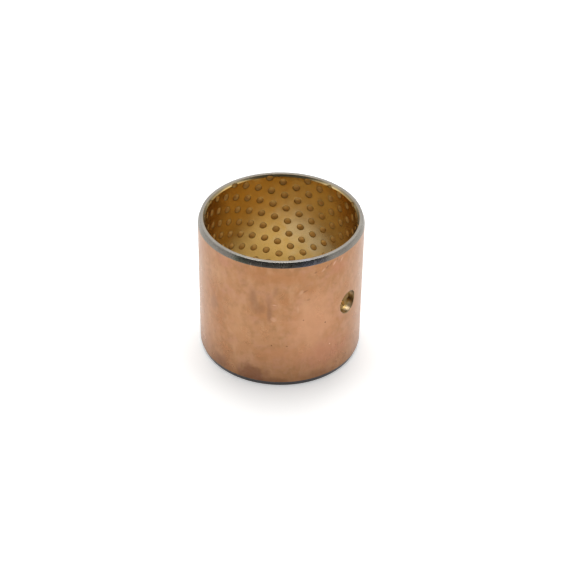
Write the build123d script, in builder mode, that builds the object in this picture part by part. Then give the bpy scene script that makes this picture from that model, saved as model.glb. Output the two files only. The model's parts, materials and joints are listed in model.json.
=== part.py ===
from build123d import *
from math import atan, ceil, cos, degrees, floor, pi, radians, sin, sqrt, tan
import os

# A wrapped steel bush lined with sintered bronze, standing on one end.
# Origin: the middle of the lower end. +Z runs up the bore, +X points out through the oil hole.
# All sizes are in millimetres.

# Bush
bore_diameter = 50.0
length = 50.0
lining_thickness = 0.8
backing_thickness = 1.7

# End chamfers
outer_chamfer_length = 1.8
outer_chamfer_angle = 20.0
inner_chamfer = 0.7

# Oil hole
oil_hole_diameter = 8.0
oil_hole_height = 27.0
oil_hole_edge_break = 0.2
drill_overrun = 1.0

# Oil pockets in the lining: ball indents, pressed here with a blunt tip of few sides.
# The tip has the area of the ball's round mouth and close to the volume of its hollow.
# They stand on a lattice that leans and closes on itself round the bore.
indent_mouth_diameter = 2.5
indent_floor_diameter = 1.0
indent_depth = 0.4
indent_sides = 4
indent_pitch = 5.3
indent_columns = 36
indent_rows_per_turn = 13
indent_column_lean = 0.575
first_indent_angle = 120.9
first_indent_height = 31.25

# Worked out
bore_radius = bore_diameter / 2
bond_radius = bore_radius + lining_thickness
outside_radius = bond_radius + backing_thickness
outer_chamfer_width = outer_chamfer_length * tan(radians(outer_chamfer_angle))
oil_hole_radius = oil_hole_diameter / 2
oil_hole_plane = Plane(origin=(0, 0, oil_hole_height), x_dir=(0, 1, 0), z_dir=(1, 0, 0))
drill_reach = outside_radius + drill_overrun

# Lattice steps on the unrolled bore: one indent up a column, and one column on round the bore
bore_girth = pi * bore_diameter
column_step = (bore_girth + indent_rows_per_turn * indent_column_lean) / indent_columns
column_rise = indent_rows_per_turn * indent_pitch / indent_columns


def indent_places():
    """Where each indent meets the bore: its plane's Z points out into the lining."""
    places = []
    mouth_radius = indent_mouth_diameter / 2
    lowest = inner_chamfer - mouth_radius / 2
    highest = length - lowest
    for column in range(indent_columns):
        base_height = first_indent_height + column * column_rise
        first_row = ceil((lowest - base_height) / indent_pitch)
        last_row = floor((highest - base_height) / indent_pitch)
        for row in range(first_row, last_row + 1):
            height = base_height + row * indent_pitch
            around = column * column_step + row * indent_column_lean
            angle = first_indent_angle + degrees(around / bore_radius)
            outward = Vector(1, 0, 0).rotate(Axis.Z, angle)
            foot = outward * bore_radius + Vector(0, 0, height)
            places.append(Location(Plane(origin=foot, x_dir=(0, 0, 1), z_dir=outward)))
    return places


# The tool that presses one indent: it widens from its blunt tip at the pocket's floor
# and stands as far above the wall as the pocket is deep. Two of its sides run up the bore.
side_angle = 360 / indent_sides
same_area = sqrt(radians(side_angle) / sin(radians(side_angle)))
mouth_corner_radius = indent_mouth_diameter / 2 * same_area
floor_corner_radius = indent_floor_diameter / 2 * same_area
side_slope = cos(pi / indent_sides) * (mouth_corner_radius - floor_corner_radius) / indent_depth

with BuildPart() as indent_tip:
    with BuildSketch(Plane.XY.offset(-indent_depth)):
        RegularPolygon(2 * mouth_corner_radius - floor_corner_radius, indent_sides, rotation=side_angle / 2)
    extrude(amount=2 * indent_depth, taper=degrees(atan(side_slope)))

# Steel backing: the outer wall, with a long shallow chamfer at each end
with BuildPart() as steel_backing:
    with BuildSketch(Plane.XZ):
        with BuildLine():
            Polyline(
                (bond_radius, 0),
                (outside_radius - outer_chamfer_width, 0),
                (outside_radius, outer_chamfer_length),
                (outside_radius, length - outer_chamfer_length),
                (outside_radius - outer_chamfer_width, length),
                (bond_radius, length),
                close=True,
            )
        make_face()
    revolve(axis=Axis.Z)
    with BuildSketch(oil_hole_plane):
        Circle(oil_hole_radius)
    extrude(amount=drill_reach, mode=Mode.SUBTRACT)
    outer_rim = edges().filter_by(GeomType.BSPLINE).sort_by(Axis.X)[-1]
    chamfer(outer_rim, oil_hole_edge_break)

# Bronze lining: bonded to the backing, bevelled at both ends and covered in indents
with BuildPart() as bronze_lining:
    with BuildSketch(Plane.XZ):
        with BuildLine():
            Polyline(
                (bore_radius + inner_chamfer, 0),
                (bond_radius, 0),
                (bond_radius, length),
                (bore_radius + inner_chamfer, length),
                (bore_radius, length - inner_chamfer),
                (bore_radius, inner_chamfer),
                close=True,
            )
        make_face()
    revolve(axis=Axis.Z)
    with Locations(*indent_places()):
        add(indent_tip.part, mode=Mode.SUBTRACT)
    with BuildSketch(oil_hole_plane):
        Circle(oil_hole_radius)
    extrude(amount=drill_reach, mode=Mode.SUBTRACT)

steel_backing.part.label = "steel_backing"
bronze_lining.part.label = "bronze_lining"

os.makedirs("parts", exist_ok=True)
export_step(steel_backing.part, "parts/steel_backing.step")
export_step(bronze_lining.part, "parts/bronze_lining.step")
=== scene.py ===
import json
from collections import namedtuple
from math import asin, atan2, ceil, cos, pi, radians, sin, sqrt, tan

import bmesh
import bpy
from mathutils import Matrix, Vector


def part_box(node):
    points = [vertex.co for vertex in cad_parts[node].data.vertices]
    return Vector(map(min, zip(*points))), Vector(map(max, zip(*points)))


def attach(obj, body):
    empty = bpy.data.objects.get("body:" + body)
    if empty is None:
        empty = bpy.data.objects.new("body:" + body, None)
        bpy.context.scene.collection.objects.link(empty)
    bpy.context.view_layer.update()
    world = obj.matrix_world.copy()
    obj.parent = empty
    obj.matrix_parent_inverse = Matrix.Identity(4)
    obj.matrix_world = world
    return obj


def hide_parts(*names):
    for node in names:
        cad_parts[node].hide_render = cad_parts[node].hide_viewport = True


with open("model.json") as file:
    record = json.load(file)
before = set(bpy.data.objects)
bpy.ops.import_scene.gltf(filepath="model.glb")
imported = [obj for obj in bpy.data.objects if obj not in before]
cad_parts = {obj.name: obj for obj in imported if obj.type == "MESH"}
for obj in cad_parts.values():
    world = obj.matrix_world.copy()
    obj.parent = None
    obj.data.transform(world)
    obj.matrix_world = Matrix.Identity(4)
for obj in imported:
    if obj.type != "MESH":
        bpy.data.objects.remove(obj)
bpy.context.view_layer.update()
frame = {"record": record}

# Sizes that the frame gives
MM = 0.001
MOUNTS = {mount["name"]: mount for mount in frame["record"]["mounts"]}
BORE_RADIUS = MOUNTS["bore"]["dims"]["r_mm"] * MM
OUTSIDE_RADIUS = MOUNTS["outside"]["dims"]["r_mm"] * MM
BOND_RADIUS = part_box("bronze_lining")[1].x
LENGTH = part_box("steel_backing")[1].z
OUTER_CHAMFER_LENGTH = (LENGTH - MOUNTS["outside"]["dims"]["length_mm"] * MM) / 2
INNER_CHAMFER = (LENGTH - MOUNTS["bore"]["dims"]["length_mm"] * MM) / 2
OIL_HOLE_RADIUS = MOUNTS["oil_hole"]["dims"]["r_mm"] * MM
OIL_HOLE_HEIGHT = MOUNTS["oil_hole"]["pos_m"][2]

# Sizes that the frame doesn't hold, the same as in the part's source
OUTER_CHAMFER_ANGLE = radians(20)
OUTER_CHAMFER_WIDTH = OUTER_CHAMFER_LENGTH * tan(OUTER_CHAMFER_ANGLE)
OIL_HOLE_EDGE_BREAK = 0.2 * MM
INDENT_MOUTH_RADIUS = 1.25 * MM
INDENT_DEPTH = 0.4 * MM
INDENT_PITCH = 5.3 * MM
INDENT_COLUMNS = 36
INDENT_ROWS_PER_TURN = 13
INDENT_COLUMN_LEAN = 0.575 * MM
FIRST_INDENT_ANGLE = radians(120.9)
FIRST_INDENT_HEIGHT = 31.25 * MM

# Finer sizes that only the looks need
WORN_EDGE_RADIUS = 0.08 * MM
LINING_EDGE_RADIUS = 0.04 * MM
INDENT_RIM_ROUND = 0.05 * MM
INDENT_RIM_LAND = 0.16 * MM
MERGE_DISTANCE = 0.002 * MM
SMOOTH_ANGLE = radians(32)

MATH = "ShaderNodeMath"
VECTOR_MATH = "ShaderNodeVectorMath"


def mesh_object(name, mesh):
    """A new object for a mesh, in the scene."""
    piece = bpy.data.objects.new(name, mesh)
    bpy.context.collection.objects.link(piece)
    return piece


def shade_smooth(mesh):
    """Smooth shading, broken only at real corners."""
    mesh.polygons.foreach_set("use_smooth", [True] * len(mesh.polygons))
    mesh.set_sharp_from_angle(angle=SMOOTH_ANGLE)


def linear(hex_colour):
    """An sRGB hex colour as linear RGBA."""
    channels = [int(hex_colour[i : i + 2], 16) / 255 for i in (1, 3, 5)]
    return [c / 12.92 if c <= 0.04045 else ((c + 0.055) / 1.055) ** 2.4 for c in channels] + [1.0]


def wrap(radius, around, height):
    """A point on a cylinder, from its angle and height."""
    return Vector((radius * cos(around), radius * sin(around), height))


def add_node(tree, kind, inputs=None, **settings):
    """Adds a node. Inputs gives a socket, by name or number, a value or another node's output."""
    node = tree.nodes.new(kind)
    for name, value in settings.items():
        setattr(node, name, value)
    for socket, value in (inputs or {}).items():
        if isinstance(value, bpy.types.NodeSocket):
            tree.links.new(value, node.inputs[socket])
        else:
            node.inputs[socket].default_value = value
    return node


# Materials


def new_material(name):
    """An empty node material, its tree and its output node."""
    material = bpy.data.materials.new(name)
    material.use_nodes = True
    tree = material.node_tree
    tree.nodes.clear()
    return material, tree, add_node(tree, "ShaderNodeOutputMaterial")


def patches(tree, place, size, stretch=(1, 1, 1), low=0.35, high=0.65, detail=4.0, span=(0.0, 1.0)):
    """Soft random patches of a real size, as a number that goes over a span.
    Low and high are the noise values where a patch begins and where it is full.
    Stretch makes patches longer along an axis."""
    scale = [1 / (size * share) for share in stretch]
    scaled = add_node(tree, VECTOR_MATH, {0: place, 1: scale}, operation="MULTIPLY").outputs[0]
    noise = add_node(
        tree,
        "ShaderNodeTexNoise",
        {"Vector": scaled, "Scale": 1.0, "Detail": detail, "Roughness": 0.55},
    ).outputs["Fac"]
    return add_node(
        tree,
        "ShaderNodeMapRange",
        {"Value": noise, "From Min": low, "From Max": high, "To Min": span[0], "To Max": span[1]},
    ).outputs["Result"]


def metal(tree, output, colour, roughness, height, height_size, extra=None):
    """A metal whose small unevenness bends reflections. Extra holds more inputs of its shader."""
    relief = {"Height": height, "Strength": 1.0, "Distance": height_size}
    bump = add_node(tree, "ShaderNodeBump", relief)
    inputs = {
        "Base Color": colour,
        "Metallic": 1.0,
        "Roughness": roughness,
        "Normal": bump.outputs["Normal"],
        **(extra or {}),
    }
    shader = add_node(tree, "ShaderNodeBsdfPrincipled", inputs)
    tree.links.new(shader.outputs[0], output.inputs["Surface"])


# Random patches of a colour. Size is in millimetres, and the rest is as in patches.
Layer = namedtuple(
    "Layer", "size colour low high stretch detail", defaults=[0.35, 0.65, (1, 1, 1), 4.0]
)
COPPER_LAYERS = [
    # Pale clouds, pink clouds, brown blotches and pale runs
    Layer(10.0, "#C6946B", 0.30, 0.70),
    Layer(5.0, "#C69074", 0.50, 0.90),
    Layer(2.2, "#A97B52", 0.48, 0.85),
    Layer(3.0, "#D2A27A", 0.50, 0.95, (1, 1, 2)),
]
STEEL_LAYERS = [Layer(9.0, "#9B968E")]
BRONZE_LAYERS = [Layer(9.0, "#D1B06C")]
# The bronze's pores are under 0.1 mm across, too fine to show, so they are drawn as 0.35 mm
PORE_LAYERS = [Layer(0.35, "#94733A", 0.66, 0.74, detail=2.0)]

# A colour that comes in with a height or a depth, from where it begins to where it is full,
# in millimetres
Band = namedtuple("Band", "begins full colour strength", defaults=[1.0])
# Painted shade on the lower chamfer: the turned steel goes darker towards the lower end, as the
# shaded floor beneath it would make it
FOOT_PAINTED_SHADE = [Band(3.0, 1.5, "#5B585C", 0.75)]
NEAR_BOND = [Band(0.05, 0.4, "#85806F", 0.85)]
# Dirt and painted shade inside a pocket's mouth, then the pocket's pressed floor
POCKET_DIRT_SHADE_AND_FLOOR = [
    Band(0.0, 0.03, "#765014"),
    Band(0.03, 0.16, "#DFBA74"),
]

# Marks on a wall, by angle from the oil hole, height and half sizes, in degrees and millimetres.
# Tilt turns a mark on the wall. Strength is how much of its colour shows, and fade is the share of
# its half size over which it fades out.
Mark = namedtuple(
    "Mark", "angle height half_width half_height tilt colour strength fade", defaults=[0.8]
)
COPPER_MARKS = [
    # Warmer ground below the upper rim, and paler patches on the front, which are painted brighter
    # reflection
    Mark(-55, 44.0, 13.0, 3.5, 0, "#BA7C4C", 0.45),
    Mark(-95, 45.5, 4.0, 3.0, 0, "#C68A70", 0.40),
    Mark(-12, 44.0, 5.5, 3.5, -25, "#C27F58", 0.45),
    Mark(-30, 25.0, 12.0, 18.0, 0, "#D8A07A", 0.70),
    Mark(-20, 11.0, 13.0, 8.0, 0, "#CC8C70", 0.50),
    Mark(-48, 13.0, 14.0, 6.0, 0, "#CC9068", 0.45),
    Mark(-85, 24.0, 6.0, 12.0, 0, "#CD9A70", 0.40),
    # Grey-brown runs below the upper rim
    Mark(-73, 35.0, 2.6, 6.5, 4, "#8F6449", 0.50),
    Mark(-68, 31.5, 2.6, 3.4, -30, "#8F6549", 0.42),
    Mark(-62, 35.0, 1.5, 3.4, -8, "#94694E", 0.30),
    Mark(-61, 30.0, 1.5, 5.5, 3, "#8A614A", 0.48),
    Mark(-57.5, 39.0, 1.2, 3.5, -12, "#9A6E50", 0.35),
    Mark(-106, 27, 2.6, 5.0, 0, "#96705A", 0.35),
    # Brown stains at the foot
    Mark(-73, 3.8, 7.4, 5.2, -22, "#7C4A32", 0.58, 0.6),
    Mark(-59, 1.8, 8.0, 2.2, 0, "#8A5638", 0.50),
    Mark(-99, 4.0, 6.0, 4.5, 10, "#8C6048", 0.40),
    Mark(-25, 3.0, 9.0, 3.0, -5, "#9A6B4E", 0.40),
    # A scuff below the rim, beside the oil hole
    Mark(-30, 45.2, 0.9, 0.45, 15, "#8C5A42", 0.55),
    Mark(-24.5, 45.3, 1.2, 0.50, 35, "#E0B293", 0.50),
    Mark(-21.5, 46.0, 0.45, 1.1, -50, "#85543F", 0.55),
    Mark(-18.5, 46.6, 0.45, 1.2, -35, "#8C5A45", 0.50),
    Mark(-15.5, 46.4, 0.50, 1.3, -40, "#EBC4AB", 0.50),
    Mark(-13.0, 47.4, 0.35, 0.8, -20, "#7A5044", 0.50),
    Mark(-9.0, 46.5, 0.35, 1.2, -40, "#E8C4AE", 0.45),
    # Rubbed spots
    Mark(-37.3, 38.5, 0.35, 1.4, -60, "#7A5240", 0.50),
    Mark(-40, 38.2, 0.9, 1.5, -30, "#DDB190", 0.45),
    Mark(-58, 28, 1.4, 1.6, 0, "#DBA98A", 0.50),
    Mark(-58, 33.6, 1.0, 0.30, 0, "#E2B597", 0.60),
    Mark(-42, 31.7, 0.6, 2.0, 0, "#D9AB8A", 0.40),
    Mark(-35, 35.0, 1.0, 0.6, 20, "#8F624A", 0.35),
    # Specks
    Mark(-38, 27, 0.32, 0.32, 0, "#5E3A2A", 0.80),
    Mark(-21.8, 23.9, 0.38, 0.38, 0, "#57321F", 0.90),
    Mark(-59.8, 17.2, 0.36, 0.36, 0, "#4C2A20", 0.90),
    Mark(-49.3, 16.9, 0.45, 0.30, 0, "#6A4030", 0.70),
    Mark(-17.3, 14.1, 0.35, 0.35, 0, "#F0CDAF", 0.90),
]
# Lilac and green tints on the upper chamfer, taken as stains of oil
STEEL_MARKS = [
    Mark(-34, 48.8, 7.0, 2.0, 0, "#A2A5B8", 0.70),
    Mark(-82, 48.8, 4.5, 2.0, 0, "#8F9883", 0.60),
]
# Greyer and paler bronze at the back of the bore, on the photograph's right
BRONZE_MARKS = [
    Mark(97, 35, 20, 23, 0, "#CEB98B", 0.95, 0.6),
]
# A mark's edge strays by this share of its smaller half size, at least by this many millimetres,
# and in waves of this many
RAGGED_SHARE = 1.2
RAGGED_LEAST = 0.6
RAGGED_WAVE = 4.0


def clouded(tree, place, colour, layers):
    """A colour with random patches of others laid over it."""
    for layer in layers:
        size = layer.size * MM
        cover = patches(tree, place, size, layer.stretch, layer.low, layer.high, layer.detail)
        both = {"Factor": cover, "A": colour, "B": linear(layer.colour)}
        colour = add_node(tree, "ShaderNodeMix", both, data_type="RGBA").outputs["Result"]
    return colour


def banded(tree, measure, colour, bands):
    """A colour with others laid over it where a measured height or depth brings them in."""
    for band in bands:
        cover = add_node(
            tree,
            "ShaderNodeMapRange",
            {
                "Value": measure,
                "From Min": band.begins * MM,
                "From Max": band.full * MM,
                "To Max": band.strength,
            },
        ).outputs["Result"]
        both = {"Factor": cover, "A": colour, "B": linear(band.colour)}
        colour = add_node(tree, "ShaderNodeMix", both, data_type="RGBA").outputs["Result"]
    return colour


def marked(tree, place, colour, marks):
    """A colour with marks laid over it, each with a soft and ragged edge."""
    waves = {"Vector": place, "Scale": 1 / (RAGGED_WAVE * MM), "Detail": 4.0}
    noise = add_node(tree, "ShaderNodeTexNoise", waves)
    centred = add_node(
        tree, VECTOR_MATH, {0: noise.outputs["Color"], 1: (0.5, 0.5, 0.5)}, operation="SUBTRACT"
    ).outputs[0]
    for mark in marks:
        stray = max(RAGGED_LEAST, RAGGED_SHARE * min(mark.half_width, mark.half_height)) * MM
        shift = add_node(tree, VECTOR_MATH, {0: centred, "Scale": stray}, operation="SCALE")
        ragged = add_node(tree, VECTOR_MATH, {0: place, 1: shift.outputs[0]}, operation="ADD")
        local = add_node(
            tree,
            "ShaderNodeMapping",
            {
                "Vector": ragged.outputs[0],
                "Location": wrap(OUTSIDE_RADIUS, radians(mark.angle), mark.height * MM),
                "Rotation": (radians(mark.tilt), 0, radians(mark.angle)),
                "Scale": (OUTSIDE_RADIUS, mark.half_width * MM, mark.half_height * MM),
            },
            vector_type="TEXTURE",
        )
        from_centre = add_node(tree, VECTOR_MATH, {0: local.outputs[0]}, operation="LENGTH")
        cover = add_node(
            tree,
            "ShaderNodeMapRange",
            {
                "Value": from_centre.outputs["Value"],
                "From Min": 1.0,
                "From Max": 1.0 - mark.fade,
                "To Max": mark.strength,
            },
            interpolation_type="SMOOTHSTEP",
        ).outputs["Result"]
        both = {"Factor": cover, "A": colour, "B": linear(mark.colour)}
        colour = add_node(tree, "ShaderNodeMix", both, data_type="RGBA").outputs["Result"]
    return colour


def radius_and_height(tree, place):
    """How far a place lies from the bush's axis, and how high above its lower end."""
    across = add_node(tree, VECTOR_MATH, {0: place, 1: (1, 1, 0)}, operation="MULTIPLY")
    radius = add_node(tree, VECTOR_MATH, {0: across.outputs[0]}, operation="LENGTH")
    height = add_node(tree, VECTOR_MATH, {0: place, 1: (0, 0, 1)}, operation="DOT_PRODUCT")
    return radius.outputs["Value"], height.outputs["Value"]


def ring_lines(tree, radius, height, spacing):
    """Fine lines round the axis that follow both an end face and its chamfer, from 0 to 1."""
    along = add_node(tree, MATH, {0: radius, 1: height}, operation="SUBTRACT").outputs[0]
    lines = {"W": along, "Scale": 1 / spacing, "Detail": 1.0}
    return add_node(tree, "ShaderNodeTexNoise", lines, noise_dimensions="1D").outputs["Fac"]


def bevel_rise(tree, height):
    """How far the plain bevel has drawn back from the bore at a height."""
    from_middle = add_node(tree, MATH, {0: height, 1: LENGTH / 2}, operation="SUBTRACT").outputs[0]
    from_middle = add_node(tree, MATH, {0: from_middle}, operation="ABSOLUTE").outputs[0]
    bevel_start = LENGTH / 2 - INNER_CHAMFER
    rise = add_node(tree, MATH, {0: from_middle, 1: bevel_start}, operation="SUBTRACT").outputs[0]
    return add_node(tree, MATH, {0: rise, 1: 0.0}, operation="MAXIMUM").outputs[0]


def pocket_depth(tree, radius, rise):
    """How far the surface lies outside the plain bore and bevel: more than 0 only in a pocket."""
    depth = add_node(tree, MATH, {0: radius, 1: BORE_RADIUS}, operation="SUBTRACT").outputs[0]
    return add_node(tree, MATH, {0: depth, 1: rise}, operation="SUBTRACT").outputs[0]


def copper_flash():
    """Copper flash, electroplated a few micrometres thick on rolled steel and left unpolished.
    It looks salmon tan and satin, is clouded where it tarnishes, and has runs, stains and specks.
    Paler patches on its front are painted reflection.
    A thin film of oil gives it a second, softer gloss."""
    material, tree, output = new_material("copper_flash")
    place = add_node(tree, "ShaderNodeTexCoord").outputs["Object"]
    colour = clouded(tree, place, linear("#B77E51"), COPPER_LAYERS)
    # Stains, runs and specks, and paler patches of painted reflection
    colour = marked(tree, place, colour, COPPER_MARKS)
    roughness = patches(tree, place, 5 * MM, span=(0.27, 0.36))
    # The plating's grain is about 0.03 mm, too fine to show, so it is drawn as 0.25 mm
    grain = patches(tree, place, 0.25 * MM, stretch=(2, 2, 1), low=0.2, high=0.8, detail=2.0)
    oil_film = {"Coat Weight": 0.4, "Coat Roughness": 0.25}
    metal(tree, output, colour, roughness, grain, 0.002 * MM, oil_film)
    return material


def turned_steel():
    """Low-carbon steel, bare where the ends were turned after plating. It is grey and slightly
    stained by oil. Its fine grooves spread reflections across themselves, so that the brightness
    of an end face changes round the ring."""
    material, tree, output = new_material("turned_steel")
    place = add_node(tree, "ShaderNodeTexCoord").outputs["Object"]
    radius, height = radius_and_height(tree, place)
    colour = clouded(tree, place, linear("#8E8981"), STEEL_LAYERS)
    colour = marked(tree, place, colour, STEEL_MARKS)
    # Painted shade, darker towards the lower end
    colour = banded(tree, height, colour, FOOT_PAINTED_SHADE)
    roughness = patches(tree, place, 2 * MM, span=(0.22, 0.28))
    # The tool's grooves are about 0.1 mm apart, too fine to show, so they are drawn 0.3 mm apart
    grooves = ring_lines(tree, radius, height, 0.3 * MM)
    round_axis = add_node(tree, "ShaderNodeTangent", direction_type="RADIAL", axis="Z").outputs[0]
    spread_across = {"Anisotropic": 0.5, "Anisotropic Rotation": 0.25, "Tangent": round_axis}
    metal(tree, output, colour, roughness, grooves, 0.0005 * MM, spread_across)
    return material


def drilled_wall(name, ground, worn, roughness_span):
    """The oil hole's wall in the steel or the bronze, as the drill left it: uneven, rougher than
    the turned ends and browned by old oil, so it looks dull. Worn spots are paler."""
    material, tree, output = new_material(name)
    place = add_node(tree, "ShaderNodeTexCoord").outputs["Object"]
    colour = clouded(tree, place, linear(ground), [Layer(1.5, worn)])
    roughness = patches(tree, place, 1.5 * MM, span=roughness_span)
    chatter = patches(tree, place, 0.3 * MM)
    metal(tree, output, colour, roughness, chatter, 0.005 * MM)
    return material


def sintered_bronze():
    """Sintered leaded bronze, bored to size: golden, satin and finely grained.
    Its pockets were pressed and never cut, so they stay duller, and dirt with painted shade
    outlines their mouths.
    Near its bond with the steel, which the bevel lays bare, it is grey."""
    material, tree, output = new_material("sintered_bronze")
    place = add_node(tree, "ShaderNodeTexCoord").outputs["Object"]
    radius, height = radius_and_height(tree, place)
    rise = bevel_rise(tree, height)
    depth = pocket_depth(tree, radius, rise)
    colour = clouded(tree, place, linear("#C8A55F"), BRONZE_LAYERS)
    colour = marked(tree, place, colour, BRONZE_MARKS)
    colour = clouded(tree, place, colour, PORE_LAYERS)
    colour = banded(tree, rise, colour, NEAR_BOND)
    # A dark ring of dirt and painted shade inside each pocket's mouth, then a paler floor
    colour = banded(tree, depth, colour, POCKET_DIRT_SHADE_AND_FLOOR)
    mouth = POCKET_DIRT_SHADE_AND_FLOOR[0].full * MM
    duller = {"Value": depth, "From Max": mouth, "To Min": 0.22, "To Max": 0.56}
    roughness = add_node(tree, "ShaderNodeMapRange", duller).outputs["Result"]
    # The boring tool's marks run round the bore, about as fine as shows
    bored = patches(tree, place, 0.12 * MM, stretch=(8, 8, 1), low=0.2, high=0.8, detail=2.0)
    metal(tree, output, colour, roughness, bored, 0.0015 * MM)
    return material


# Steel backing

WALL_COLUMNS = 384
HOLE_PATCH_CELLS = 24
HOLE_PATCH_RINGS = 6
WALL_ROWS_BESIDE_PATCH = 12
ROUND_STEPS = 3
HOLE_EDGE_STEPS = 4


def hole_rim(wall_radius, rim_radius, directions):
    """The ring where a round hole along X meets a cylinder round Z."""
    ring = []
    for direction in directions:
        across = rim_radius * cos(direction)
        height = OIL_HOLE_HEIGHT + rim_radius * sin(direction)
        ring.append(Vector((sqrt(wall_radius**2 - across**2), across, height)))
    return ring


def add_ring(shell, points):
    """New vertices at some points."""
    return [shell.verts.new(point) for point in points]


def join_rings(shell, first, second, slot=0):
    """A closed band of four-sided faces between two rings of as many points."""
    count = len(first)
    for i in range(count):
        j = (i + 1) % count
        shell.faces.new((first[i], first[j], second[j], second[i])).material_index = slot


def wall_with_hole(shell, radius, bottom_ring, top_ring, rim_radius, slot):
    """The wall between two rings: a grid with a round opening. Returns the opening's rim."""
    half = HOLE_PATCH_CELLS // 2
    column_angle = 2 * pi / WALL_COLUMNS
    cell = radius * column_angle
    bottom, top = bottom_ring[0].co.z, top_ring[0].co.z
    patch_bottom = OIL_HOLE_HEIGHT - half * cell
    patch_top = OIL_HOLE_HEIGHT + half * cell
    beside = WALL_ROWS_BESIDE_PATCH
    heights = [bottom + (patch_bottom - bottom) * i / beside for i in range(1, beside)]
    first_patch_row = len(heights) + 1
    heights += [patch_bottom + i * cell for i in range(HOLE_PATCH_CELLS + 1)]
    heights += [patch_top + (top - patch_top) * i / beside for i in range(1, beside)]
    rows = [bottom_ring]
    for height in heights:
        points = [wrap(radius, i * column_angle, height) for i in range(WALL_COLUMNS)]
        rows.append(add_ring(shell, points))
    rows.append(top_ring)
    last_patch_row = first_patch_row + HOLE_PATCH_CELLS
    unused = set()
    for row in range(len(rows) - 1):
        for column in range(WALL_COLUMNS):
            next_column = (column + 1) % WALL_COLUMNS
            centred = (column + half) % WALL_COLUMNS
            if first_patch_row <= row < last_patch_row and centred < HOLE_PATCH_CELLS:
                unused.update((rows[row + 1][column], rows[row + 1][next_column]))
                continue
            lower = (rows[row][column], rows[row][next_column])
            upper = (rows[row + 1][next_column], rows[row + 1][column])
            shell.faces.new(lower + upper).material_index = slot

    # The patch's border, counter-clockwise from its lower corner at the clockwise side
    border = [(c, first_patch_row) for c in range(-half, half)]
    border += [(half, r) for r in range(first_patch_row, last_patch_row)]
    border += [(c, last_patch_row) for c in range(half, -half, -1)]
    border += [(-half, r) for r in range(last_patch_row, first_patch_row, -1)]
    outer = [rows[r][c % WALL_COLUMNS] for c, r in border]
    directions = [atan2((r - first_patch_row) - half, c) for c, r in border]
    rim_points = hole_rim(radius, rim_radius, directions)
    rim = outer
    for step in range(1, HOLE_PATCH_RINGS + 1):
        share = step / HOLE_PATCH_RINGS
        points = []
        for start, end in zip([v.co for v in outer], rim_points):
            around = (1 - share) * atan2(start.y, start.x) + share * atan2(end.y, end.x)
            points.append(wrap(radius, around, (1 - share) * start.z + share * end.z))
        ring = add_ring(shell, points)
        join_rings(shell, rim, ring, slot)
        rim = ring
    for vert in unused - set(outer):
        shell.verts.remove(vert)
    return rim, directions


def rounded_corner(before, corner, after, radius):
    """Points of a small round on a profile's corner, from one side to the other."""
    corner, before, after = Vector(corner), Vector(before), Vector(after)
    inward, outward = (before - corner).normalized(), (after - corner).normalized()
    half_angle = inward.angle(outward) / 2
    reach = radius / tan(half_angle)
    middle = corner + (inward + outward).normalized() * radius / sin(half_angle)
    start, end = corner + inward * reach, corner + outward * reach
    points = []
    for i in range(ROUND_STEPS + 1):
        straight = start.lerp(end, i / ROUND_STEPS) - middle
        points.append(middle + straight.normalized() * radius)
    return points


def steel_backing():
    """The outer shell: flat ends, long chamfers, worn edges and the oil hole's wall."""
    shell = bmesh.new()
    chamfer_radius = OUTSIDE_RADIUS - OUTER_CHAMFER_WIDTH
    corners = [
        (BOND_RADIUS, 0),
        (chamfer_radius, 0),
        (OUTSIDE_RADIUS, OUTER_CHAMFER_LENGTH),
        (OUTSIDE_RADIUS, LENGTH - OUTER_CHAMFER_LENGTH),
        (chamfer_radius, LENGTH),
        (BOND_RADIUS, LENGTH),
    ]
    copper, turned, drilled = 0, 1, 2
    lower = [Vector(corners[0])]
    lower += rounded_corner(corners[0], corners[1], corners[2], WORN_EDGE_RADIUS)
    lower += rounded_corner(corners[1], corners[2], corners[3], WORN_EDGE_RADIUS)
    upper = rounded_corner(corners[2], corners[3], corners[4], WORN_EDGE_RADIUS)
    upper += rounded_corner(corners[3], corners[4], corners[5], WORN_EDGE_RADIUS)
    upper += [Vector(corners[5])]
    angles = [2 * pi * i / WALL_COLUMNS for i in range(WALL_COLUMNS)]
    ends = []
    for profile in (lower, upper):
        rings = [add_ring(shell, [wrap(p.x, a, p.y) for a in angles]) for p in profile]
        for first, second in zip(rings, rings[1:]):
            join_rings(shell, first, second, turned)
        ends.append(rings)
    lower_rings, upper_rings = ends
    rim_radius = OIL_HOLE_RADIUS + OIL_HOLE_EDGE_BREAK
    rim, directions = wall_with_hole(
        shell, OUTSIDE_RADIUS, lower_rings[-1], upper_rings[0], rim_radius, copper
    )
    bond_rim, _ = wall_with_hole(
        shell, BOND_RADIUS, lower_rings[0], upper_rings[-1], OIL_HOLE_RADIUS, turned
    )

    # The hole's wall: a broken outer edge, then straight in to the lining
    previous = rim
    for step in range(1, HOLE_EDGE_STEPS + 1):
        turn = pi / 2 * step / HOLE_EDGE_STEPS
        rim_radius = OIL_HOLE_RADIUS + OIL_HOLE_EDGE_BREAK * (1 - sin(turn))
        sunk = OIL_HOLE_EDGE_BREAK * (1 - cos(turn))
        ring = add_ring(shell, hole_rim(OUTSIDE_RADIUS - sunk, rim_radius, directions))
        join_rings(shell, previous, ring, drilled)
        previous = ring
    join_rings(shell, previous, bond_rim, drilled)

    bmesh.ops.recalc_face_normals(shell, faces=shell.faces)
    mesh = bpy.data.meshes.new("steel_backing_dressed")
    shell.to_mesh(mesh)
    shell.free()
    drilled_steel = drilled_wall("drilled_steel", "#8D7A5C", "#B09A7A", (0.28, 0.38))
    for material in (copper_flash(), turned_steel(), drilled_steel):
        mesh.materials.append(material)
    shade_smooth(mesh)
    return mesh_object("steel_backing_dressed", mesh)


# Bronze lining

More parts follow.
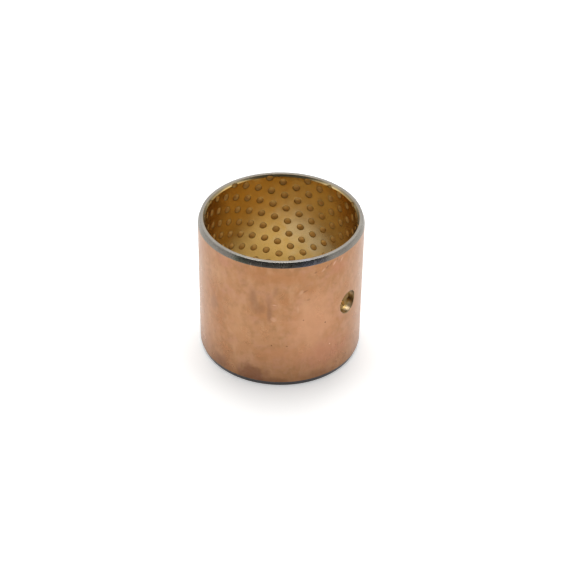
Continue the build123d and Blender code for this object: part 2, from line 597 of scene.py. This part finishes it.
CELL_POINTS_PER_SIDE = 4
BALL_BANDS = 4
DRILL_SIDES = 96
COLUMN_STEP = (2 * pi * BORE_RADIUS + INDENT_ROWS_PER_TURN * INDENT_COLUMN_LEAN) / INDENT_COLUMNS
COLUMN_RISE = INDENT_ROWS_PER_TURN * INDENT_PITCH / INDENT_COLUMNS


def cell_corners():
    """The six corners of the ground nearest to one indent of the leaning lattice."""
    up = Vector((INDENT_COLUMN_LEAN, INDENT_PITCH))
    across = Vector((COLUMN_STEP, COLUMN_RISE))
    around = [across, up, up - across, -across, -up, across - up]
    corners = []
    for a, b in zip(around, around[1:] + around[:1]):
        double_area = 2 * (a.x * b.y - a.y * b.x)
        x = (b.y * a.length_squared - a.y * b.length_squared) / double_area
        y = (a.x * b.length_squared - b.x * a.length_squared) / double_area
        corners.append(Vector((x, y)))
    return corners


def indent_cell():
    """One flat cell of the lining with its ball indent: X round the bore, Z up, Y into the wall."""
    corners = cell_corners()
    border = []
    for start, end in zip(corners, corners[1:] + corners[:1]):
        border += [start.lerp(end, i / CELL_POINTS_PER_SIDE) for i in range(CELL_POINTS_PER_SIDE)]
    directions = [atan2(p.y, p.x) for p in border]

    # Circles from the land down into the ball's hollow, by radius and depth
    ball_radius = (INDENT_MOUTH_RADIUS**2 + INDENT_DEPTH**2) / (2 * INDENT_DEPTH)
    mouth_turn = asin((INDENT_MOUTH_RADIUS - INDENT_RIM_ROUND) / ball_radius)
    circles = [
        (INDENT_MOUTH_RADIUS + INDENT_RIM_LAND, 0),
        (INDENT_MOUTH_RADIUS + INDENT_RIM_ROUND, 0),
    ]
    for band in range(BALL_BANDS):
        turn = mouth_turn * (1 - band / BALL_BANDS)
        circles.append((ball_radius * sin(turn), INDENT_DEPTH - ball_radius * (1 - cos(turn))))

    cell = bmesh.new()
    previous = add_ring(cell, [(p.x, 0, p.y) for p in border])
    for radius, depth in circles:
        ring = add_ring(cell, [(radius * cos(d), depth, radius * sin(d)) for d in directions])
        join_rings(cell, previous, ring)
        previous = ring
    floor_point = cell.verts.new((0, INDENT_DEPTH, 0))
    for i, vert in enumerate(previous):
        cell.faces.new((vert, previous[(i + 1) % len(previous)], floor_point))
    mesh = bpy.data.meshes.new("indent_cell")
    cell.to_mesh(mesh)
    cell.free()
    return mesh


def indent_lattice_tree():
    """Lays the flat cell on a leaning lattice, then wraps the whole sheet round the bore."""
    tree = bpy.data.node_groups.new("indent_lattice", "GeometryNodeTree")
    rows_below = ceil(FIRST_INDENT_HEIGHT / INDENT_PITCH) + INDENT_ROWS_PER_TURN + 1
    rows_above = ceil((LENGTH - FIRST_INDENT_HEIGHT) / INDENT_PITCH) + 1
    sizes = {
        "Columns": ("NodeSocketInt", INDENT_COLUMNS),
        "Rows": ("NodeSocketInt", rows_below + rows_above),
        "Rows Below": ("NodeSocketInt", rows_below),
        "Pitch": ("NodeSocketFloat", INDENT_PITCH),
        "Lean": ("NodeSocketFloat", INDENT_COLUMN_LEAN),
        "Column Step": ("NodeSocketFloat", COLUMN_STEP),
        "Column Rise": ("NodeSocketFloat", COLUMN_RISE),
        "First Height": ("NodeSocketFloat", FIRST_INDENT_HEIGHT),
        "First Angle": ("NodeSocketFloat", FIRST_INDENT_ANGLE),
        "Bore Radius": ("NodeSocketFloat", BORE_RADIUS),
        "Middle": ("NodeSocketFloat", LENGTH / 2),
        "Reach": ("NodeSocketFloat", LENGTH / 2 + INDENT_PITCH),
        "Material": ("NodeSocketMaterial", None),
    }
    face = tree.interface
    face.new_socket("Geometry", in_out="INPUT", socket_type="NodeSocketGeometry")
    for name, (kind, _) in sizes.items():
        face.new_socket(name, in_out="INPUT", socket_type=kind)
    face.new_socket("Geometry", in_out="OUTPUT", socket_type="NodeSocketGeometry")
    given = add_node(tree, "NodeGroupInput").outputs

    # One column of places, and the feet of all the columns
    row_parts = {0: given["Lean"], 2: given["Pitch"]}
    row_step = add_node(tree, "ShaderNodeCombineXYZ", row_parts).outputs[0]
    below = add_node(tree, MATH, {0: given["Rows Below"], 1: -1.0}, operation="MULTIPLY").outputs[0]
    first_row = add_node(tree, VECTOR_MATH, {0: row_step, "Scale": below}, operation="SCALE")
    column = add_node(
        tree,
        "GeometryNodeMeshLine",
        {"Count": given["Rows"], "Start Location": first_row.outputs[0], "Offset": row_step},
    ).outputs[0]
    foot = add_node(tree, "ShaderNodeCombineXYZ", {2: given["First Height"]}).outputs[0]
    column_parts = {0: given["Column Step"], 2: given["Column Rise"]}
    column_step = add_node(tree, "ShaderNodeCombineXYZ", column_parts).outputs[0]
    feet = add_node(
        tree,
        "GeometryNodeMeshLine",
        {"Count": given["Columns"], "Start Location": foot, "Offset": column_step},
    ).outputs[0]
    columns = add_node(tree, "GeometryNodeInstanceOnPoints", {"Points": feet, "Instance": column})
    lattice = add_node(tree, "GeometryNodeRealizeInstances", {0: columns.outputs[0]})

    # The places between the bush's ends, each with a cell
    position = add_node(tree, "GeometryNodeInputPosition").outputs[0]
    x, depth, z = add_node(tree, "ShaderNodeSeparateXYZ", {0: position}).outputs
    inside = add_node(
        tree, MATH, {0: z, 1: given["Middle"], 2: given["Reach"]}, operation="COMPARE"
    ).outputs[0]
    kept = add_node(
        tree, "GeometryNodeSeparateGeometry", {"Geometry": lattice.outputs[0], "Selection": inside}
    )
    cells = add_node(
        tree,
        "GeometryNodeInstanceOnPoints",
        {"Points": kept.outputs[0], "Instance": given["Geometry"]},
    )
    flat = add_node(tree, "GeometryNodeRealizeInstances", {0: cells.outputs[0]})

    # The sheet bent round the bore
    turned = add_node(tree, MATH, {0: x, 1: given["Bore Radius"]}, operation="DIVIDE").outputs[0]
    around = add_node(tree, MATH, {0: turned, 1: given["First Angle"]}, operation="ADD").outputs[0]
    radius = add_node(tree, MATH, {0: given["Bore Radius"], 1: depth}, operation="ADD").outputs[0]
    cosine = add_node(tree, MATH, {0: around}, operation="COSINE").outputs[0]
    sine = add_node(tree, MATH, {0: around}, operation="SINE").outputs[0]
    wrapped_x = add_node(tree, MATH, {0: radius, 1: cosine}, operation="MULTIPLY").outputs[0]
    wrapped_y = add_node(tree, MATH, {0: radius, 1: sine}, operation="MULTIPLY").outputs[0]
    wrapped = add_node(tree, "ShaderNodeCombineXYZ", {0: wrapped_x, 1: wrapped_y, 2: z}).outputs[0]
    bent = add_node(
        tree, "GeometryNodeSetPosition", {"Geometry": flat.outputs[0], "Position": wrapped}
    )
    joined = add_node(
        tree,
        "GeometryNodeMergeByDistance",
        {"Geometry": bent.outputs[0], "Distance": MERGE_DISTANCE},
    )
    finished = add_node(
        tree,
        "GeometryNodeSetMaterial",
        {"Geometry": joined.outputs[0], "Material": given["Material"]},
    )
    add_node(tree, "NodeGroupOutput", {0: finished.outputs[0]})
    return tree, {name: value for name, (_, value) in sizes.items()}


def plain_mesh(piece):
    """What an object's modifiers make of it, as a mesh of its own."""
    evaluated = piece.evaluated_get(bpy.context.evaluated_depsgraph_get())
    return bpy.data.meshes.new_from_object(evaluated)


def indented_sheet(bronze):
    """The bore's surface with all its indents, longer than the bush at both ends."""
    piece = mesh_object("indent_cell", indent_cell())
    tree, values = indent_lattice_tree()
    values["Material"] = bronze
    modifier = piece.modifiers.new("indent_lattice", "NODES")
    modifier.node_group = tree
    for item in tree.interface.items_tree:
        if item.in_out == "INPUT" and item.name in values:
            modifier[item.identifier] = values[item.name]
    mesh = plain_mesh(piece)
    bpy.data.objects.remove(piece)
    return mesh


def lining_edge():
    """The lining's bevel with its worn edges, as points of radius and distance from the end."""
    corners = [
        (BOND_RADIUS, 0),
        (BORE_RADIUS + INNER_CHAMFER, 0),
        (BORE_RADIUS, INNER_CHAMFER),
        (BORE_RADIUS, LENGTH / 2),
    ]
    points = rounded_corner(corners[0], corners[1], corners[2], LINING_EDGE_RADIUS)
    return points + rounded_corner(corners[1], corners[2], corners[3], WORN_EDGE_RADIUS)


def bevelled_radius(edge, radius, height):
    """The bore's radius once both ends are bevelled. A pocket that goes deeper keeps its own."""
    from_end = min(height, LENGTH - height)
    for outer, inner in zip(edge, edge[1:]):
        if from_end <= inner.y:
            share = max(0, from_end - outer.y) / (inner.y - outer.y)
            return max(radius, outer.x + share * (inner.x - outer.x))
    return radius


def bronze_lining():
    """The lining as a closed shell, trimmed and bevelled at both ends, with the oil hole."""
    bronze = sintered_bronze()
    shell = bmesh.new()
    shell.from_mesh(indented_sheet(bronze))
    edge = lining_edge()
    upward = Vector((0, 0, 1))
    for from_end in [p.y for p in edge[1:]]:
        for height in (from_end, LENGTH - from_end):
            everything = shell.verts[:] + shell.edges[:] + shell.faces[:]
            bmesh.ops.bisect_plane(
                shell, geom=everything, plane_co=upward * height, plane_no=upward
            )
    for height, outward in ((0, -upward), (LENGTH, upward)):
        everything = shell.verts[:] + shell.edges[:] + shell.faces[:]
        bmesh.ops.bisect_plane(
            shell, geom=everything, plane_co=upward * height, plane_no=outward, clear_outer=True
        )
    for vert in shell.verts:
        radius = vert.co.xy.length
        vert.co.xy *= bevelled_radius(edge, radius, vert.co.z) / radius

    # Flat ends out to the bond, then the back of the lining
    ends = [e for e in shell.edges if e.is_boundary]
    lips = bmesh.ops.extrude_edge_only(shell, edges=ends)["geom"]
    for vert in lips:
        if isinstance(vert, bmesh.types.BMVert):
            vert.co.xy *= BOND_RADIUS / vert.co.xy.length
    back = [e for e in lips if isinstance(e, bmesh.types.BMEdge) and e.is_boundary]
    bmesh.ops.bridge_loops(shell, edges=back)
    bmesh.ops.triangulate(shell, faces=shell.faces)
    bmesh.ops.recalc_face_normals(shell, faces=shell.faces)
    mesh = bpy.data.meshes.new("bronze_lining_dressed")
    shell.to_mesh(mesh)
    shell.free()
    mesh.materials.append(bronze)
    piece = mesh_object("bronze_lining_dressed", mesh)

    drill = bmesh.new()
    through_wall = Matrix.Translation((OUTSIDE_RADIUS, 0, OIL_HOLE_HEIGHT))
    bmesh.ops.create_cone(
        drill,
        segments=DRILL_SIDES,
        radius1=OIL_HOLE_RADIUS,
        radius2=OIL_HOLE_RADIUS,
        depth=OUTSIDE_RADIUS,
        cap_ends=True,
        matrix=through_wall @ Matrix.Rotation(pi / 2, 4, "Y"),
    )
    drill_mesh = bpy.data.meshes.new("oil_drill")
    drill.to_mesh(drill_mesh)
    drill.free()
    drill_piece = mesh_object("oil_drill", drill_mesh)
    cut = piece.modifiers.new("oil_hole", "BOOLEAN")
    cut.operation = "DIFFERENCE"
    cut.solver = "EXACT"
    cut.object = drill_piece
    drilled = plain_mesh(piece)
    piece.modifiers.remove(cut)
    piece.data = drilled
    bpy.data.objects.remove(drill_piece)
    drilled.name = "bronze_lining_dressed"
    drilled.materials.append(drilled_wall("drilled_bronze", "#8A7347", "#A98F5E", (0.32, 0.42)))
    bored, hole_wall = 0, 1
    for face in drilled.polygons:
        from_axis = Vector((face.center.y, face.center.z - OIL_HOLE_HEIGHT)).length
        in_hole = face.center.x > 0 and from_axis < OIL_HOLE_RADIUS
        face.material_index = hole_wall if in_hole else bored
    shade_smooth(drilled)
    return piece


# Floor, camera and lights

PHOTO_SIDE = 570
SENSOR_WIDTH = 36.0
CAMERA_FOCAL_PIXELS = 1531.7
CAMERA_DISTANCE = 518.1 * MM
CAMERA_ELEVATION = radians(36.16)
CAMERA_ROLL = radians(-0.811)
CAMERA_AZIMUTH = radians(35.69)
CAMERA_ASIDE = 1.519 * MM
CAMERA_LIFT = -2.618 * MM
MIDDLE = Vector((0, 0, LENGTH / 2))
FLOOR_RADIUS = 0.9
FLOOR_SIDES = 96

# How strongly a thing shines on matt things, in reflections and clear glass, and to the eye
Shine = namedtuple("Shine", "matt mirrored camera")
FLOOR_SHINE = Shine(0.0, 0.14, 0.42)
# The backdrop's light, as a direction turns from behind the camera to behind the bush, and as it
# turns up from the floor. Start and end are cosines to the direction looked in.
Ramp = namedtuple("Ramp", "start end low high")
BACKDROP_BEHIND = Ramp(-0.6, 0.9, 0.08, 1.25)
BACKDROP_ABOVE = Ramp(0.05, 0.5, 0.2, 1.0)
BACKDROP_ON_MATT = 0.6
BACKDROP_TO_CAMERA = 1.0

# Flat lamps that face the bush. Azimuth is clockwise from the camera's side, seen from above.
# Angles are in degrees, sizes in metres.
LAMP_DISTANCE = 0.9
Lamp = namedtuple("Lamp", "name azimuth elevation width height radiance")
LAMPS = [
    Lamp("top_box", 180, 77, 0.5, 0.5, 6.5),
    Lamp("left_box", 80, 36, 0.6, 0.45, 1.0),
    Lamp("right_box", -80, 36, 0.6, 0.45, 1.0),
    Lamp("low_left_box", 88, 6, 1.0, 0.2, 0.6),
    Lamp("low_right_box", -88, 6, 1.0, 0.2, 0.6),
]


def turned_to_photo(x, y, z):
    """A direction in the photograph's own frame, which looks along +Y, turned to the bush's."""
    return Matrix.Rotation(CAMERA_AZIMUTH, 3, "Z") @ Vector((x, y, z))


def add_camera():
    """The photograph's viewpoint, fitted to the rim, the bore, the chamfers and the oil hole."""
    forward = turned_to_photo(0, cos(CAMERA_ELEVATION), -sin(CAMERA_ELEVATION))
    right = turned_to_photo(1, 0, 0)
    up = right.cross(forward)
    data = bpy.data.cameras.new("camera")
    data.sensor_width = SENSOR_WIDTH
    data.lens = SENSOR_WIDTH * CAMERA_FOCAL_PIXELS / PHOTO_SIDE
    camera = bpy.data.objects.new("camera", data)
    bpy.context.collection.objects.link(camera)
    rolled_right = cos(CAMERA_ROLL) * right - sin(CAMERA_ROLL) * up
    rolled_up = sin(CAMERA_ROLL) * right + cos(CAMERA_ROLL) * up
    axes = Matrix((rolled_right, rolled_up, -forward)).transposed().to_4x4()
    place = MIDDLE - CAMERA_DISTANCE * forward + CAMERA_ASIDE * right + CAMERA_LIFT * up
    camera.matrix_world = Matrix.Translation(place) @ axes
    bpy.context.scene.camera = camera


def seen_strength(tree, shine):
    """A strength that depends on what the light reaches."""
    path = add_node(tree, "ShaderNodeLightPath").outputs
    is_mirrored = add_node(
        tree, MATH, {0: path["Is Glossy Ray"], 1: path["Is Transmission Ray"]}, operation="MAXIMUM"
    ).outputs[0]
    strength = shine.matt
    for seen, value in ((is_mirrored, shine.mirrored), (path["Is Camera Ray"], shine.camera)):
        both = {"Factor": seen, "A": strength, "B": value}
        strength = add_node(tree, "ShaderNodeMix", both).outputs[0]
    return strength


def add_floor():
    """A round pale table top, which looks white where the bush casts no shade."""
    sheet = bmesh.new()
    bmesh.ops.create_circle(sheet, cap_ends=True, segments=FLOOR_SIDES, radius=FLOOR_RADIUS)
    mesh = bpy.data.meshes.new("floor")
    sheet.to_mesh(mesh)
    sheet.free()
    floor = mesh_object("floor", mesh)
    material, tree, output = new_material("white_table")
    matt = add_node(tree, "ShaderNodeBsdfDiffuse", {"Color": linear("#F2F1EF")})
    strength = seen_strength(tree, FLOOR_SHINE)
    glow = add_node(tree, "ShaderNodeEmission", {"Color": linear("#FFFFFF"), "Strength": strength})
    both = add_node(tree, "ShaderNodeAddShader", {0: matt.outputs[0], 1: glow.outputs[0]})
    tree.links.new(both.outputs[0], output.inputs["Surface"])
    mesh.materials.append(material)


def add_lamp(lamp):
    """A flat white lamp that faces the middle of the bush."""
    data = bpy.data.lights.new(lamp.name, "AREA")
    data.shape = "RECTANGLE"
    data.size, data.size_y = lamp.width, lamp.height
    data.energy = lamp.radiance * pi * lamp.width * lamp.height
    piece = bpy.data.objects.new(lamp.name, data)
    bpy.context.collection.objects.link(piece)
    turn, lift = radians(lamp.azimuth), radians(lamp.elevation)
    towards = turned_to_photo(-sin(turn) * cos(lift), -cos(turn) * cos(lift), sin(lift))
    piece.location = MIDDLE + towards * LAMP_DISTANCE
    piece.rotation_euler = towards.to_track_quat("Z", "Y").to_euler()


def add_world():
    """A white backdrop behind and beside the bush, and a dim room behind the camera.
    To the camera itself the surroundings are plain white."""
    world = bpy.data.worlds.new("room")
    bpy.context.scene.world = world
    world.use_nodes = True
    tree = world.node_tree
    tree.nodes.clear()
    direction = add_node(tree, "ShaderNodeTexCoord").outputs["Generated"]
    backdrop = 1.0
    for toward, ramp in (((0, 1, 0), BACKDROP_BEHIND), ((0, 0, 1), BACKDROP_ABOVE)):
        ahead = turned_to_photo(*toward)
        facing = add_node(
            tree, VECTOR_MATH, {0: direction, 1: ahead}, operation="DOT_PRODUCT"
        ).outputs["Value"]
        share = add_node(
            tree,
            "ShaderNodeMapRange",
            {
                "Value": facing,
                "From Min": ramp.start,
                "From Max": ramp.end,
                "To Min": ramp.low,
                "To Max": ramp.high,
            },
            interpolation_type="SMOOTHSTEP",
        ).outputs["Result"]
        backdrop = add_node(tree, MATH, {0: backdrop, 1: share}, operation="MULTIPLY").outputs[0]
    matt = add_node(tree, MATH, {0: backdrop, 1: BACKDROP_ON_MATT}, operation="MULTIPLY").outputs[0]
    strength = seen_strength(tree, Shine(matt, backdrop, BACKDROP_TO_CAMERA))
    white = linear("#FFFFFF")
    room = add_node(tree, "ShaderNodeBackground", {"Color": white, "Strength": strength})
    output = add_node(tree, "ShaderNodeOutputWorld")
    tree.links.new(room.outputs[0], output.inputs["Surface"])


# The scene

steel = steel_backing()
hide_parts("steel_backing")
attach(steel, "root")

lining = bronze_lining()
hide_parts("bronze_lining")
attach(lining, "root")

add_floor()
add_camera()
add_world()
for lamp in LAMPS:
    add_lamp(lamp)
bpy.context.scene.view_settings.view_transform = "Standard"
